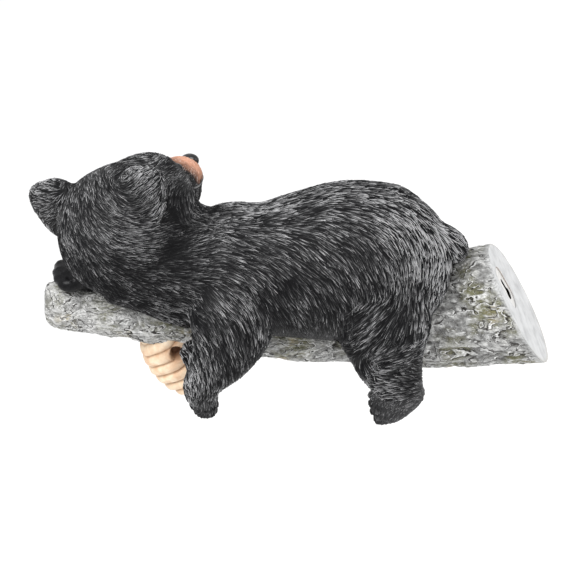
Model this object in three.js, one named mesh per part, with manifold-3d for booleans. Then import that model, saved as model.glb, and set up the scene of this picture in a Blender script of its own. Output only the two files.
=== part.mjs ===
// A resin bear cub asleep along a tree branch, with a beehive under it, made to hang on a wall
// or a trunk by a metal keyhole hanger let into the flat end of the branch.
//
// Millimetres, +Z up. The wall face of the branch is the plane X = 0 with the origin at its
// centre, and +X runs out from the wall. The branch rises from the wall at BRANCH_RISE.
import * as THREE from "three";
import { mergeVertices } from "three/addons/utils/BufferGeometryUtils.js";
import Module from "manifold-3d";

const wasm = await Module();
wasm.setup();

// The branch. Its own frame has x out along it, y across it and z up from it.
const BRANCH_LENGTH = 358; // from the centre of the wall face to the broken tip
const BRANCH_DIAMETER = 41; // under the cub
const TIP_DIAMETER = 36; // at the broken tip
const BRANCH_RISE = 26.3; // degrees above level
const BRANCH_SAG = 29; // how far the branch's middle dips below its straight line
const ROOT_HEIGHT = 101; // of the wall face, up and down
const ROOT_WIDTH = 76; // of the wall face, side to side
const ROOT_LENGTH = 122; // over which the root swells from branch to wall face
const ROOT_ASIDE = 6; // the wall face's centre from the branch's own line
const ROOT_DROP = 4.5; // the wall face's centre below the branch's straight line
const TIP_ROUNDING = 17; // the length over which the broken tip rounds off
const BARK_RELIEF = 1.3;

// The cub. Every figure of its shape is in hundredths of this length, from rump to forehead.
const CUB_LENGTH = 300;
const CUB_FROM_WALL = 50; // from the wall face's centre to the rump, along the branch
const FUR_RELIEF = 0.9; // depth of the carved locks

// The hive.
const HIVE_DIAMETER = 56;
const HIVE_HEIGHT = 76; // from the branch's middle line to the hive's lowest ring, hung plumb
const HIVE_ALONG = 272; // from the wall face's centre, along the branch
const HIVE_ASIDE = 5; // its axis from the branch's middle line, to the far side
const HIVE_COILS = 8;
const HIVE_HOLE = 10;
const HIVE_HOLE_DEPTH = 6;
const HIVE_HOLE_TURN = 10; // degrees from the near side towards the wall
const HIVE_HOLE_DROP = 24; // the hole's centre below the branch's middle line

// The keyhole hanger, a pressed oval plate, and the pocket behind it for the screw's head.
const HANGER_HEIGHT = 36;
const HANGER_WIDTH = 18;
const HANGER_THICKNESS = 1.5;
const HANGER_UP = 17; // its centre above the wall face's centre
const HANGER_ASIDE = 9; // and to the side of it
const HANGER_SINK = 0.6; // its face lies this far below the wall face
const HANGER_CLEARANCE = 0.3;
const KEYHOLE_HEAD = 9.5; // the round end, which the screw's head passes
const KEYHOLE_SLOT = 4.6; // the narrow end, which its shank drops into
const KEYHOLE_DROP = 12; // from the round end's centre up to the slot's end
const SCREW_HEAD_ROOM = 7; // depth of the pocket behind the plate
const POCKET_LAND = 2.5; // the ledge that the plate rests on, all round the pocket

const branchRadius = BRANCH_DIAMETER / 2;
const rise = THREE.MathUtils.degToRad(BRANCH_RISE);

// One closed three.js geometry as a solid that can be joined and cut.
function solidOf(geometry) {
  const bare = geometry.clone();
  bare.deleteAttribute("normal");
  bare.deleteAttribute("uv");
  const merged = mergeVertices(bare, 1e-4);
  return new wasm.Manifold(
    new wasm.Mesh({
      numProp: 3,
      vertProperties: new Float32Array(merged.attributes.position.array),
      triVerts: new Uint32Array(merged.index.array),
    }),
  );
}

// A solid as a named mesh.
function meshOf(name, solid, material) {
  const made = solid.getMesh();
  const geometry = new THREE.BufferGeometry();
  const places = new THREE.BufferAttribute(new Float32Array(made.vertProperties), 3);
  geometry.setAttribute("position", places);
  geometry.setIndex(new THREE.BufferAttribute(new Uint32Array(made.triVerts), 1));
  geometry.computeVertexNormals();
  const mesh = new THREE.Mesh(geometry, material);
  mesh.name = name;
  return mesh;
}

// Grid of rings, each a list of points, closed with a point at each end.
function skin(rings, firstPole, lastPole) {
  const sides = rings[0].length;
  const points = [firstPole, ...rings.flat(), lastPole];
  const last = points.length - 1;
  const faces = [];
  for (let s = 0; s < sides; s++) {
    const next = (s + 1) % sides;
    faces.push(0, 1 + next, 1 + s);
    for (let r = 0; r + 1 < rings.length; r++) {
      const here = 1 + r * sides;
      const there = here + sides;
      faces.push(here + s, here + next, there + s);
      faces.push(here + next, there + next, there + s);
    }
    const end = 1 + (rings.length - 1) * sides;
    faces.push(last, end + s, end + next);
  }
  const geometry = new THREE.BufferGeometry().setFromPoints(points);
  geometry.setIndex(faces);
  return geometry;
}

// The value at share t of a list of numbers, on a smooth curve through them.
function along(values, t) {
  const place = t * (values.length - 1);
  const i = Math.min(Math.floor(place), values.length - 2);
  const f = place - i;
  const before = values[Math.max(i - 1, 0)];
  const after = values[Math.min(i + 2, values.length - 1)];
  const rate0 = (values[i + 1] - before) / 2;
  const rate1 = (after - values[i]) / 2;
  const gap = values[i + 1] - values[i];
  const curve = f * f * (3 - 2 * f);
  return (
    values[i] + gap * curve + rate0 * f * (1 - f) ** 2 - rate1 * f * f * (1 - f)
  );
}

// A body carried along a path of stations [x, y, z, half width, half height]. Half width lies
// across `level`, half height along it. Each end rounds off over its share of the path.
// relief(t, angle) is the height of the carving there.
function carried(stations, options = {}) {
  const {
    rings = 10,
    sides = 14,
    ends = [0.3, 0.3],
    level = new THREE.Vector3(0, 0, 1),
    relief = () => 0,
  } = options;
  const column = (k) => stations.map((station) => station[k]);
  const [xs, ys, zs, widths, heights] = [0, 1, 2, 3, 4].map(column);
  const middle = (t) => new THREE.Vector3(along(xs, t), along(ys, t), along(zs, t));
  const tube = [];
  for (let r = 0; r < rings; r++) {
    const { t, swell } = roundedShare((r + 0.5) / rings, ends);
    const ahead = middle(Math.min(t + 0.02, 1)).sub(middle(Math.max(t - 0.02, 0)));
    const across = level.clone().cross(ahead).normalize();
    const up = ahead.normalize().cross(across).normalize();
    const ring = [];
    for (let s = 0; s < sides; s++) {
      const angle = (2 * Math.PI * s) / sides;
      const carve = relief(t, angle);
      const wide = along(widths, t) * swell + carve;
      const high = along(heights, t) * swell + carve;
      const point = middle(t);
      point.addScaledVector(across, wide * Math.cos(angle));
      point.addScaledVector(up, high * Math.sin(angle));
      ring.push(point);
    }
    tube.push(ring);
  }
  return skin(tube, middle(0), middle(1));
}

// Where ring number `share` of a rounded body lies, and how far it has swelled to full size.
function roundedShare(share, [first, last]) {
  const turn = share * Math.PI;
  const even = (1 - Math.cos(turn)) / 2;
  const t = THREE.MathUtils.lerp(share, even, 0.75);
  const into = Math.min(t / first, 1);
  const outOf = Math.min((1 - t) / last, 1);
  const dome = (f) => Math.sqrt(Math.max(1 - (1 - f) ** 2, 0));
  return { t, swell: dome(into) * dome(outOf) };
}

// An egg with three half sizes, turned so that its own axes lie along the three given.
function egg(centre, halves, axes, columns = 16, rows = 10) {
  const ball = new THREE.SphereGeometry(1, columns, rows);
  ball.scale(...halves);
  ball.applyMatrix4(new THREE.Matrix4().makeBasis(...axes));
  ball.translate(...centre);
  return ball;
}

const SQUARE_AXES = [
  new THREE.Vector3(1, 0, 0),
  new THREE.Vector3(0, 1, 0),
  new THREE.Vector3(0, 0, 1),
];

function joined(geometries) {
  return geometries.map(solidOf).reduce((whole, piece) => whole.add(piece));
}

// The height of the branch's middle line above its straight line, at a distance from the wall.
// It dips to BRANCH_SAG a third of the way out and comes back up to the tip.
function branchMiddle(x) {
  const share = THREE.MathUtils.clamp(x / BRANCH_LENGTH, 0, 1);
  const lowest = 0.36;
  if (share < lowest) {
    const dip = Math.sin(((share / lowest) * Math.PI) / 2) ** 2;
    return THREE.MathUtils.lerp(-ROOT_DROP, -BRANCH_SAG, dip);
  }
  const back = (share - lowest) / (1 - lowest);
  return -BRANCH_SAG * (1 - back * back * (1.9 - 0.9 * back));
}

// Bark: long ridges that wander round the branch, and a few swollen knots.
function barkHeight(x, angle) {
  const wander = 0.5 * Math.sin(x / 31) + 0.35 * Math.sin(x / 13 + 2);
  const ridges = Math.sin(5 * angle + 3 * wander) + 0.7 * Math.sin(8 * angle - x / 17);
  const plates = Math.sin(x / 8 + 2.4 * Math.sin(2 * angle));
  return BARK_RELIEF * (0.5 * ridges + 0.35 * plates);
}

// The branch as rings from behind the wall face, where it is cut off afterwards, to the tip.
function branch() {
  const sides = 21;
  const behind = -0.5 * ROOT_HEIGHT * Math.tan(rise) - 8;
  const rootTall = (ROOT_HEIGHT / 2) * Math.cos(rise) + ROOT_DROP;
  const steps = 32;
  const rings = [];
  for (let r = 0; r <= steps; r++) {
    const x = THREE.MathUtils.lerp(behind, BRANCH_LENGTH, (r / steps) ** 0.93);
    const inward = THREE.MathUtils.clamp(1 - x / ROOT_LENGTH, 0, 1.3);
    const swell = Math.sin((inward * Math.PI) / 2) ** 1.1;
    const thinning = THREE.MathUtils.clamp((x / BRANCH_LENGTH - 0.4) / 0.5, 0, 1);
    const thin = THREE.MathUtils.lerp(branchRadius, TIP_DIAMETER / 2, thinning);
    const wide = THREE.MathUtils.lerp(thin, ROOT_WIDTH / 2, swell);
    const tall = THREE.MathUtils.lerp(thin, rootTall, swell);
    const fromTip = Math.min((BRANCH_LENGTH - x) / TIP_ROUNDING, 1);
    const bevel = 0.5 + 0.5 * Math.sqrt(1 - (1 - fromTip) ** 2);
    const lift = branchMiddle(x);
    const aside = -ROOT_ASIDE * swell;
    const ring = [];
    for (let s = 0; s < sides; s++) {
      const angle = (2 * Math.PI * s) / sides;
      const bark = barkHeight(x, angle);
      const y = aside + (wide * bevel + bark) * Math.cos(angle);
      const z = lift + (tall * bevel + bark) * Math.sin(angle);
      ring.push(new THREE.Vector3(x, y, z));
    }
    rings.push(ring);
  }
  const root = new THREE.Vector3(behind, -ROOT_ASIDE, -ROOT_DROP);
  const tip = new THREE.Vector3(BRANCH_LENGTH - 1.5, 0, branchMiddle(BRANCH_LENGTH));
  return skin(rings, root, tip);
}

// The hive: a lathed stack of coils, each a rounded bead, that closes to a small last ring.
function hive() {
  const profile = [new THREE.Vector2(0, -HIVE_HEIGHT)];
  const beadPoints = 3;
  const beadDepth = 0.06 * HIVE_DIAMETER;
  const waist = HIVE_DIAMETER / 2 - beadDepth;
  const widest = 0.54; // share of the height, from the lowest ring
  const closedAbove = 0.48;
  for (let p = 0; p < HIVE_COILS * beadPoints; p++) {
    const t = (p + 0.5) / (HIVE_COILS * beadPoints);
    const closing = Math.sqrt(1 - (1 - Math.min(t / widest, 1)) ** 2);
    const shoulder = Math.sqrt(1 - (Math.max(t - widest, 0) / closedAbove) ** 2);
    const bead = beadDepth * Math.abs(Math.sin((Math.PI * (p + 0.5)) / beadPoints));
    profile.push(new THREE.Vector2(waist * closing * shoulder + bead, HIVE_HEIGHT * (t - 1)));
  }
  profile.push(new THREE.Vector2(0, 0));
  const coils = new THREE.LatheGeometry(profile, 16);
  coils.rotateX(Math.PI / 2);
  const hole = new THREE.CylinderGeometry(HIVE_HOLE / 2, HIVE_HOLE / 2, 2 * HIVE_HOLE_DEPTH, 12);
  hole.translate(0, HIVE_DIAMETER / 2, 0);
  hole.rotateZ(THREE.MathUtils.degToRad(HIVE_HOLE_TURN));
  hole.translate(0, 0, -HIVE_HOLE_DROP);
  return solidOf(coils)
    .subtract(solidOf(hole))
    .rotate([0, BRANCH_RISE, 0])
    .translate([HIVE_ALONG, -HIVE_ASIDE, branchMiddle(HIVE_ALONG)]);
}

// The head's own directions: where the face looks, the cub's left, and its crown.
const face = new THREE.Vector3(-0.54, -0.83, 0.15).normalize();
const left = new THREE.Vector3(0.704, -0.541, -0.462);
const crown = face.clone().cross(left).normalize();
left.copy(crown).cross(face).normalize();
const HEAD = new THREE.Vector3(82, 0, 25.2);

// A point given from the middle of the head: out of the face, to the cub's left, to the crown.
function onHead(out, aside, up) {
  return HEAD.clone()
    .addScaledVector(face, out)
    .addScaledVector(left, aside)
    .addScaledVector(crown, up);
}

function headLobe(out, aside, up, halves, columns, rows) {
  return egg(onHead(out, aside, up), halves, [face, left, crown], columns, rows);
}

// Locks of fur, as shallow waves that run back along the body and down its sides.
function locks(count, lean, strength = 1) {
  const depth = (100 * FUR_RELIEF) / CUB_LENGTH;
  return (t, angle) => {
    const sweep = count * (t * 6 + lean * Math.cos(angle));
    const across = Math.sin(sweep + 1.3 * Math.sin(7 * angle));
    return strength * depth * (0.6 * across + 0.4 * Math.sin(11 * angle + 9 * t));
  };
}

function torso() {
  const stations = [
    [0, 0, 14.2, 18.5, 17],
    [9, 0, 14.6, 19.6, 18.6],
    [17.5, 0, 15, 20.2, 19.7],
    [27, 0, 15, 20.2, 20.2],
    [38, 0, 13.8, 18.6, 18.2],
    [47, 0, 12.6, 17, 16.6],
    [54, 0, 12.5, 17, 17],
    [60, 0, 12, 16.4, 16.6],
    [72, 0, 10, 13, 14],
  ];
  return carried(stations, {
    rings: 23,
    sides: 25,
    ends: [0.24, 0.2],
    relief: locks(7, 0.9),
  });
}

function neck() {
  const stations = [
    [50, 0, 12, 13, 13],
    [63.5, 0, 12.4, 14.5, 14.6],
    [72.5, 0, 17, 15.6, 15.4],
    [82, 0, 22, 16.6, 16.6],
    [94, 0, 24, 12, 12],
  ];
  return carried(stations, {
    rings: 9,
    sides: 18,
    ends: [0.25, 0.25],
    relief: locks(3, 0.7),
  });
}

// The head is one form carried from the nape out along the face to the end of the muzzle.
// Brow ridges, forehead, cheeks, chin and nose are lobes on it.
function head() {
  const skull = carried(
    [
      [...onHead(-18, 0, 0), 15, 15],
      [...onHead(-9, 0, -0.2), 17.4, 16.7],
      [...onHead(0, 0, -0.3), 18, 16.6],
      [...onHead(8.5, 0, -0.4), 16.8, 14.6],
      [...onHead(14, 0, -0.2), 13.4, 12],
      [...onHead(18, 0, -1.4), 8.8, 8.4],
      [...onHead(22.5, 0, -1.3), 6.8, 6.4],
      [...onHead(29.6, 0, -1.8), 4.8, 4.2],
    ],
    { rings: 18, sides: 20, ends: [0.3, 0.1], level: crown },
  );
  const forehead = headLobe(9, -1, 5.5, [8, 9.8, 8.2], 12, 8);
  const pairs = [-1, 1].flatMap((side) => [
    headLobe(12.6, 6.2 * side, 6, [5.6, 5.8, 5.4], 10, 7),
    headLobe(7, 9.4 * side, -5.2, [8.4, 7.4, 7.4], 12, 8),
    headLobe(16.2, 5.8 * side, 3.4, [1.8, 2.2, 1.5], 8, 6),
  ]);
  const chin = carried(
    [
      [...onHead(10, 0, -6.5), 7, 4.8],
      [...onHead(20, 0, -6.4), 5, 3.2],
      [...onHead(27, 0, -5.2), 3.4, 2.2],
    ],
    { rings: 6, sides: 10, ends: [0.2, 0.25], level: crown },
  );
  const nose = headLobe(29.6, 0, 0.1, [1.5, 2.7, 1.7], 10, 7);
  return [skull, forehead, ...pairs, chin, nose];
}

// Each ear is a cupped flap, broad at its root and rounded at its tip, that stands on the side
// of the crown.
function ear(side) {
  const place = onHead(-2, 18 * side, 11.5);
  const out = left.clone().multiplyScalar(side).addScaledVector(crown, 0.62).normalize();
  const through = face.clone().addScaledVector(crown, -0.35).normalize();
  const level = through.clone().cross(out).normalize();
  const flat = level.clone().cross(through).normalize();
  const shell = solidOf(
    carried(
      [
        [...place.clone().addScaledVector(flat, -8), 7.8, 3.6],
        [...place.clone().addScaledVector(flat, -2), 7.5, 3.1],
        [...place.clone().addScaledVector(flat, 3), 5, 2.5],
        [...place.clone().addScaledVector(flat, 7), 2.3, 1.8],
      ],
      { rings: 8, sides: 14, ends: [0.2, 0.3], level: through },
    ),
  );
  const cup = place.clone().addScaledVector(through, 2.7).addScaledVector(flat, 0.8);
  return shell.subtract(solidOf(egg(cup, [4.7, 2.5, 5], [level, through, flat], 10, 6)));
}

// The arm on the near side hangs over the branch, elbow back, paw down.
function hangingArm() {
  const stations = [
    [55, 3, 17, 9, 8],
    [55, 10.2, 12, 10.6, 8.6],
    [55.4, 14.6, 4.5, 10.4, 8.8],
    [58, 17, -2.4, 7.7, 7.4],
    [61.4, 17.6, -7.6, 5.1, 6.2],
    [63, 17, -12.2, 4.3, 5],
    [62.1, 16, -17.2, 3.6, 4.2],
    [60.9, 14.8, -21.6, 2.7, 3.4],
  ];
  const arm = carried(stations, {
    rings: 15,
    sides: 14,
    ends: [0.2, 0.13],
    level: new THREE.Vector3(0, 1, 0),
    relief: locks(3, 0.5, 0.8),
  });
  const tuft = egg([65, 10.8, -5.6], [3.2, 3.6, 3.5], SQUARE_AXES, 9, 6);
  const claws = [-1, 0, 1].map((k) =>
    egg([61.2 + 1.7 * k, 13, -20.8 + 0.4 * k * k], [0.8, 2, 1.2], SQUARE_AXES, 6, 5),
  );
  return [arm, tuft, ...claws];
}

// The other arm runs forward along the branch, and its paw is the pillow under the cheek.
function pillowArm() {
  const stations = [
    [52, -5, 17, 9, 9],
    [56, -11, 10.5, 9.6, 9.6],
    [64.5, -14.4, 3.8, 8.2, 8],
    [75, -13.6, 2, 6.6, 6.4],
    [85, -8.8, 4.8, 5.8, 5.2],
    [92, -2.4, 9.4, 5.6, 4.1],
    [98.5, 0.8, 11.8, 4.8, 3],
  ];
  const arm = carried(stations, { rings: 14, sides: 12, ends: [0.2, 0.1] });
  const toes = [0, 1, 2, 3].map((k) =>
    egg([97.4 - 0.4 * (k - 1) ** 2, -3 + 2.4 * k, 11.6 - 0.3 * k], [3.6, 1.9, 2.1],
      SQUARE_AXES, 8, 6),
  );
  return [arm, ...toes];
}

// A hind leg straddles the branch. side is 1 for the near leg and -1 for the far one.
function hindLeg(side) {
  const leg = [
    [17.5, 3, 17, 9, 8],
    [17.2, 10.6, 11, 12, 9.2],
    [16.8, 14.4, 3.4, 11.6, 9.2],
    [15.6, 16.6, -3.6, 8.8, 7.6],
    [13.3, 16.8, -10.8, 6.4, 6],
    [12.4, 16, -15.5, 5.4, 4.8],
    [12.2, 15.6, -19.6, 4.8, 4],
  ];
  const foot = [
    [7.6, 15.4, -12, 4.4, 3.2],
    [10.9, 15.4, -14.6, 4.6, 4.2],
    [15.5, 15.8, -17.8, 4.3, 5],
    [19.2, 15.8, -18.6, 3.2, 4.7],
  ];
  const mirror = ([x, y, z, ...half]) => [x, side * y, z, ...half];
  const limb = carried(leg.map(mirror), {
    rings: 14,
    sides: 14,
    ends: [0.2, 0.2],
    level: new THREE.Vector3(0, 1, 0),
    relief: locks(3, 0.5, 0.8),
  });
  const sole = carried(foot.map(mirror), { rings: 7, sides: 12, ends: [0.2, 0.2] });
  const toes = [0, 1, 2, 3].map((k) =>
    egg([19 - 0.45 * k * (k - 1) * 0.5, side * 16, -15 - 2.35 * k], [1.9, 2.1, 1.5],
      SQUARE_AXES, 8, 6),
  );
  return [limb, sole, ...toes];
}

function tail() {
  const stations = [
    [10, 0, 21.6, 6.2, 5.2],
    [4, 0, 21, 5.6, 5],
    [-3.8, 0, 17.2, 4.2, 4],
  ];
  return carried(stations, { rings: 7, sides: 12, ends: [0.3, 0.35] });
}

// The whole cub in hundredths of its length, with the branch's top under its belly as z = 0.
function cub() {
  const forms = [
    torso(),
    neck(),
    ...head(),
    ...hangingArm(),
    ...pillowArm(),
    ...hindLeg(1),
    ...hindLeg(-1),
    tail(),
  ];
  const size = CUB_LENGTH / 100;
  return [-1, 1]
    .map(ear)
    .reduce((whole, one) => whole.add(one), joined(forms))
    .scale([size, size, size])
    .translate([CUB_FROM_WALL, 0, branchRadius - BRANCH_SAG]);
}

// Upright plates and pockets are drawn as an outline in (y, z) and pushed along x.
function pushed(outline, from, to) {
  const made = new THREE.ExtrudeGeometry(outline, {
    depth: to - from,
    bevelEnabled: false,
    curveSegments: 8,
  });
  made.applyMatrix4(
    new THREE.Matrix4().makeBasis(
      new THREE.Vector3(0, 1, 0),
      new THREE.Vector3(0, 0, 1),
      new THREE.Vector3(1, 0, 0),
    ),
  );
  return made.translate(from, HANGER_ASIDE, HANGER_UP);
}

// A slot with round ends, standing up, wider and longer than the hanger by `more` all round.
function uprightOval(more) {
  const radius = HANGER_WIDTH / 2 + more;
  const reach = HANGER_HEIGHT / 2 - HANGER_WIDTH / 2;
  const oval = new THREE.Shape();
  oval.absarc(0, reach, radius, 0, Math.PI);
  oval.absarc(0, -reach, radius, Math.PI, 2 * Math.PI);
  oval.closePath();
  return oval;
}

// The keyhole: a round hole below, and a slot that runs up from it to a round end.
function keyhole() {
  const head = KEYHOLE_HEAD / 2;
  const slot = KEYHOLE_SLOT / 2;
  const middle = -KEYHOLE_DROP / 2;
  const meet = Math.asin(slot / head);
  const hole = new THREE.Path();
  hole.absarc(0, middle, head, Math.PI / 2 + meet, 2.5 * Math.PI - meet);
  hole.absarc(0, middle + KEYHOLE_DROP, slot, 0, Math.PI);
  hole.closePath();
  return hole;
}

const pocketFloor = HANGER_SINK + HANGER_THICKNESS + HANGER_CLEARANCE;

// The recess that the hanger sits in, with the deeper pocket inside it.
function recess() {
  const seat = pushed(uprightOval(HANGER_CLEARANCE), -1, pocketFloor);
  const pocket = pushed(uprightOval(-POCKET_LAND), -1, pocketFloor + SCREW_HEAD_ROOM);
  return joined([seat, pocket]);
}

function hanger() {
  const plate = uprightOval(0);
  plate.holes.push(keyhole());
  return solidOf(pushed(plate, HANGER_SINK, HANGER_SINK + HANGER_THICKNESS));
}

// Everything behind the wall's plane.
function wall() {
  const room = new THREE.BoxGeometry(BRANCH_LENGTH, BRANCH_LENGTH, BRANCH_LENGTH);
  return solidOf(room.translate(-BRANCH_LENGTH / 2, 0, 0));
}

// The casting: branch, cub and hive in the branch's frame, lifted to its rise and cut flat.
function casting() {
  return solidOf(branch())
    .add(cub())
    .add(hive())
    .rotate([0, -BRANCH_RISE, 0])
    .translate([0, ROOT_ASIDE, 0])
    .subtract(wall())
    .subtract(recess());
}

const paintedResin = new THREE.MeshStandardMaterial({
  color: 0x35353a,
  roughness: 0.6,
  metalness: 0,
});
const zincPlate = new THREE.MeshStandardMaterial({
  color: 0x9a9690,
  roughness: 0.4,
  metalness: 1,
});

const statue = new THREE.Group();
statue.add(meshOf("cub_on_branch", casting(), paintedResin));
statue.add(meshOf("keyhole_hanger", hanger(), zincPlate));

export default statue;
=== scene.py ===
# %% [markdown]
# # A resin bear cub asleep along a branch
#
# The casting is rebuilt as its own surfaces: the cub's skin with a coat of carved locks on it,
# the bark with its flakes, the flat wall face with its recess, and the hive. Every form is a
# numpy surface. Lengths are in millimetres until a mesh is made.

import bpy
import numpy as np
from mathutils import Matrix
from mathutils.bvhtree import BVHTree


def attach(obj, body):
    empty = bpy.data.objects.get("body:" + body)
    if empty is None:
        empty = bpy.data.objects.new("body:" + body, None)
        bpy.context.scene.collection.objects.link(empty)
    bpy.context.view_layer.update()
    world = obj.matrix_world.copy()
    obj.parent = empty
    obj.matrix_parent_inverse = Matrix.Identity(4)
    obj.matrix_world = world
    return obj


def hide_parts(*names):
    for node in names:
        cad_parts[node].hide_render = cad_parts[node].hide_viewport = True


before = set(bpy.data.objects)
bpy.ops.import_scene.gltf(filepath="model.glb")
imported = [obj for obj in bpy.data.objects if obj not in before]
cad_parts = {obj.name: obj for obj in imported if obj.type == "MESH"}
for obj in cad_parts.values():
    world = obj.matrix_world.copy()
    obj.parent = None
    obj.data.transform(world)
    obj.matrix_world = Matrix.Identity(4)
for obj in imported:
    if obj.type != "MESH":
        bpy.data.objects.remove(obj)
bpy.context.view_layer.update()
MM = 0.001


def unit(vectors):
    """A vector, or each row of many, made one long."""
    return vectors / np.maximum(np.linalg.norm(vectors, axis=-1, keepdims=True), 1e-9)


def placed(name, data):
    """A new object in the scene."""
    made = bpy.data.objects.new(name, data)
    bpy.context.scene.collection.objects.link(made)
    return made


# %% [markdown]
# ## Two frames
#
# The casting is described in the branch's frame: x out along the branch, y towards the near side
# and z up from it. The row's frame has the wall face at X = 0, and the branch rises out of it.

# %% Frames
RISE = np.radians(26.3)
ASIDE = 6.0
BRANCH_LENGTH = 358  # from the wall face's centre to the tip
BRANCH_TO_ROW = np.array([
    [np.cos(RISE), 0, -np.sin(RISE)],
    [0, 1, 0],
    [np.sin(RISE), 0, np.cos(RISE)],
])


def to_row(points):
    """Points turned by the rise about y, then moved aside."""
    return points @ BRANCH_TO_ROW.T + np.array([0, ASIDE, 0])


def to_branch(points):
    """The way back from to_row."""
    return (points - np.array([0, ASIDE, 0])) @ BRANCH_TO_ROW


# %% [markdown]
# ## Camera
#
# The camera looks at the cub's back from the near side, from a little above, rolled so that the
# branch falls towards the left of the picture.

# %% Camera
RIGHT = np.array([-0.8965, 0.0, -0.4431])
UP = np.array([-0.3716, -0.5446, 0.7519])
BACK = np.cross(RIGHT, UP)
POINT = 0.757  # millimetres that one picture point covers at the cub
ORIGIN_AT = np.array([516.5, 297.7])  # where the wall face's centre falls, in picture points
STANDOFF = 5000.0
SENSOR = 36  # its width
PICTURE = 576  # picture points across

target = -173.0 * RIGHT + 7.3 * UP + 30 * BACK
eye = (target + STANDOFF * BACK) * MM
camera = placed("camera", bpy.data.cameras.new("camera"))
axes = np.column_stack([RIGHT, UP, BACK, eye])
camera.matrix_world = Matrix([*axes.tolist(), [0, 0, 0, 1]])
camera.data.lens = SENSOR * STANDOFF / (PICTURE * POINT)
camera.data.clip_end = 50
bpy.context.scene.camera = camera

# %% [markdown]
# ## Ways to make a surface

# %% Meshes
def grid_faces(rows, columns, first=0):
    """Quads between neighbouring rings of a grid whose columns close into a ring."""
    here = np.arange(rows - 1)[:, None] * columns + np.arange(columns)[None, :]
    nxt = np.arange(rows - 1)[:, None] * columns + (np.arange(columns)[None, :] + 1) % columns
    quads = np.stack([here, nxt, nxt + columns, here + columns], -1)
    return quads.reshape(-1, 4) + first


def cap_faces(ring_start, columns, pole, flip):
    """Triangles from one ring to a pole."""
    a = ring_start + np.arange(columns)
    b = ring_start + (np.arange(columns) + 1) % columns
    fan = np.stack([b, a] if flip else [a, b], -1)
    return np.column_stack([fan, np.full(columns, pole)])


def closed_grid(rings, first_pole, last_pole):
    """A grid of rings (rows, columns, 3) closed by a pole at each end, as points and faces."""
    rows, columns = rings.shape[:2]
    points = np.concatenate([rings.reshape(-1, 3), [first_pole, last_pole]])
    count = rows * columns
    return points, [
        grid_faces(rows, columns),
        cap_faces(0, columns, count, True),
        cap_faces(count - columns, columns, count + 1, False),
    ]


def make(name, parts, attributes=None):
    """One object from (points in the row's frame, [face arrays]) parts."""
    points = np.concatenate([part[0] for part in parts])
    starts = np.cumsum([0] + [len(part[0]) for part in parts])
    faces = [f + s for (_, groups), s in zip(parts, starts) for f in groups]
    sizes = np.concatenate([np.full(len(f), f.shape[1]) for f in faces])
    corners = np.concatenate([f.ravel() for f in faces])
    mesh = bpy.data.meshes.new(name)
    mesh.vertices.add(len(points))
    mesh.vertices.foreach_set("co", (points * MM).astype(np.float32).ravel())
    mesh.loops.add(len(corners))
    mesh.loops.foreach_set("vertex_index", corners.astype(np.int32))
    mesh.polygons.add(len(sizes))
    first = np.concatenate([[0], np.cumsum(sizes)[:-1]]).astype(np.int32)
    mesh.polygons.foreach_set("loop_start", first)
    mesh.update(calc_edges=True)
    mesh.polygons.foreach_set("use_smooth", np.full(len(sizes), True))
    for key, values in (attributes or {}).items():
        layer = mesh.attributes.new(key, "FLOAT", "POINT")
        layer.data.foreach_set("value", values.astype(np.float32).ravel())
    mesh.validate()
    return placed(name, mesh)


def rows_of(items, key, width, kind=np.float32):
    """One property of a mesh's vertices, edges or triangles, a row for each."""
    values = np.empty(len(items) * width, kind)
    items.foreach_get(key, values)
    return values.reshape(-1, width)


def dress(piece, material):
    """Gives the piece its paint, hides the casting that it stands in for, and hangs it from the
    root body.
    """
    piece.data.materials.clear()
    piece.data.materials.append(material)
    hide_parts("cub_on_branch")
    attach(piece, "root")
    print(piece.name, sum(len(p.vertices) - 2 for p in piece.data.polygons), "triangles")


# %% Noise
def noise(seed, *places, period=None):
    """Smooth value noise in two or three directions: random values at whole numbers, blended
    with f*f*(3 - 2f). The last direction repeats after `period` cells."""
    size = 64
    table = np.random.default_rng(seed).random((size,) * len(places))
    whole = [np.floor(p).astype(int) for p in places]
    part = [p - w for p, w in zip(places, whole)]
    ease = [f * f * (3 - 2 * f) for f in part]
    total = 0.0
    for corner in range(2 ** len(places)):
        bits = [(corner >> k) & 1 for k in range(len(places))]
        at = [w + b for w, b in zip(whole, bits)]
        if period:
            at[-1] = at[-1] % period
        weight = 1.0
        for e, b in zip(ease, bits):
            weight = weight * (e if b else 1 - e)
        total = total + weight * table[tuple(a % size for a in at)]
    return total


# %% Bodies carried along a path
def along(values, t):
    """Values on a smooth curve through equally spaced stations, slope at each station half the
    difference of its neighbours."""
    values = np.asarray(values, float)
    place = np.clip(t, 0, 1) * (len(values) - 1)
    i = np.minimum(place.astype(int), len(values) - 2)
    f = (place - i)[:, None]
    before = values[np.maximum(i - 1, 0)]
    after = values[np.minimum(i + 2, len(values) - 1)]
    rate0 = (values[i + 1] - before) / 2
    rate1 = (after - values[i]) / 2
    gap = values[i + 1] - values[i]
    ease = f * f * (3 - 2 * f)
    return values[i] + gap * ease + rate0 * f * (1 - f) ** 2 - rate1 * f * f * (1 - f)


def dome(f):
    """A quarter circle from 0 at f = 0 to 1 at f = 1, and 1 from there on."""
    return np.sqrt(np.maximum(1 - (1 - np.minimum(f, 1)) ** 2, 0))


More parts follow.
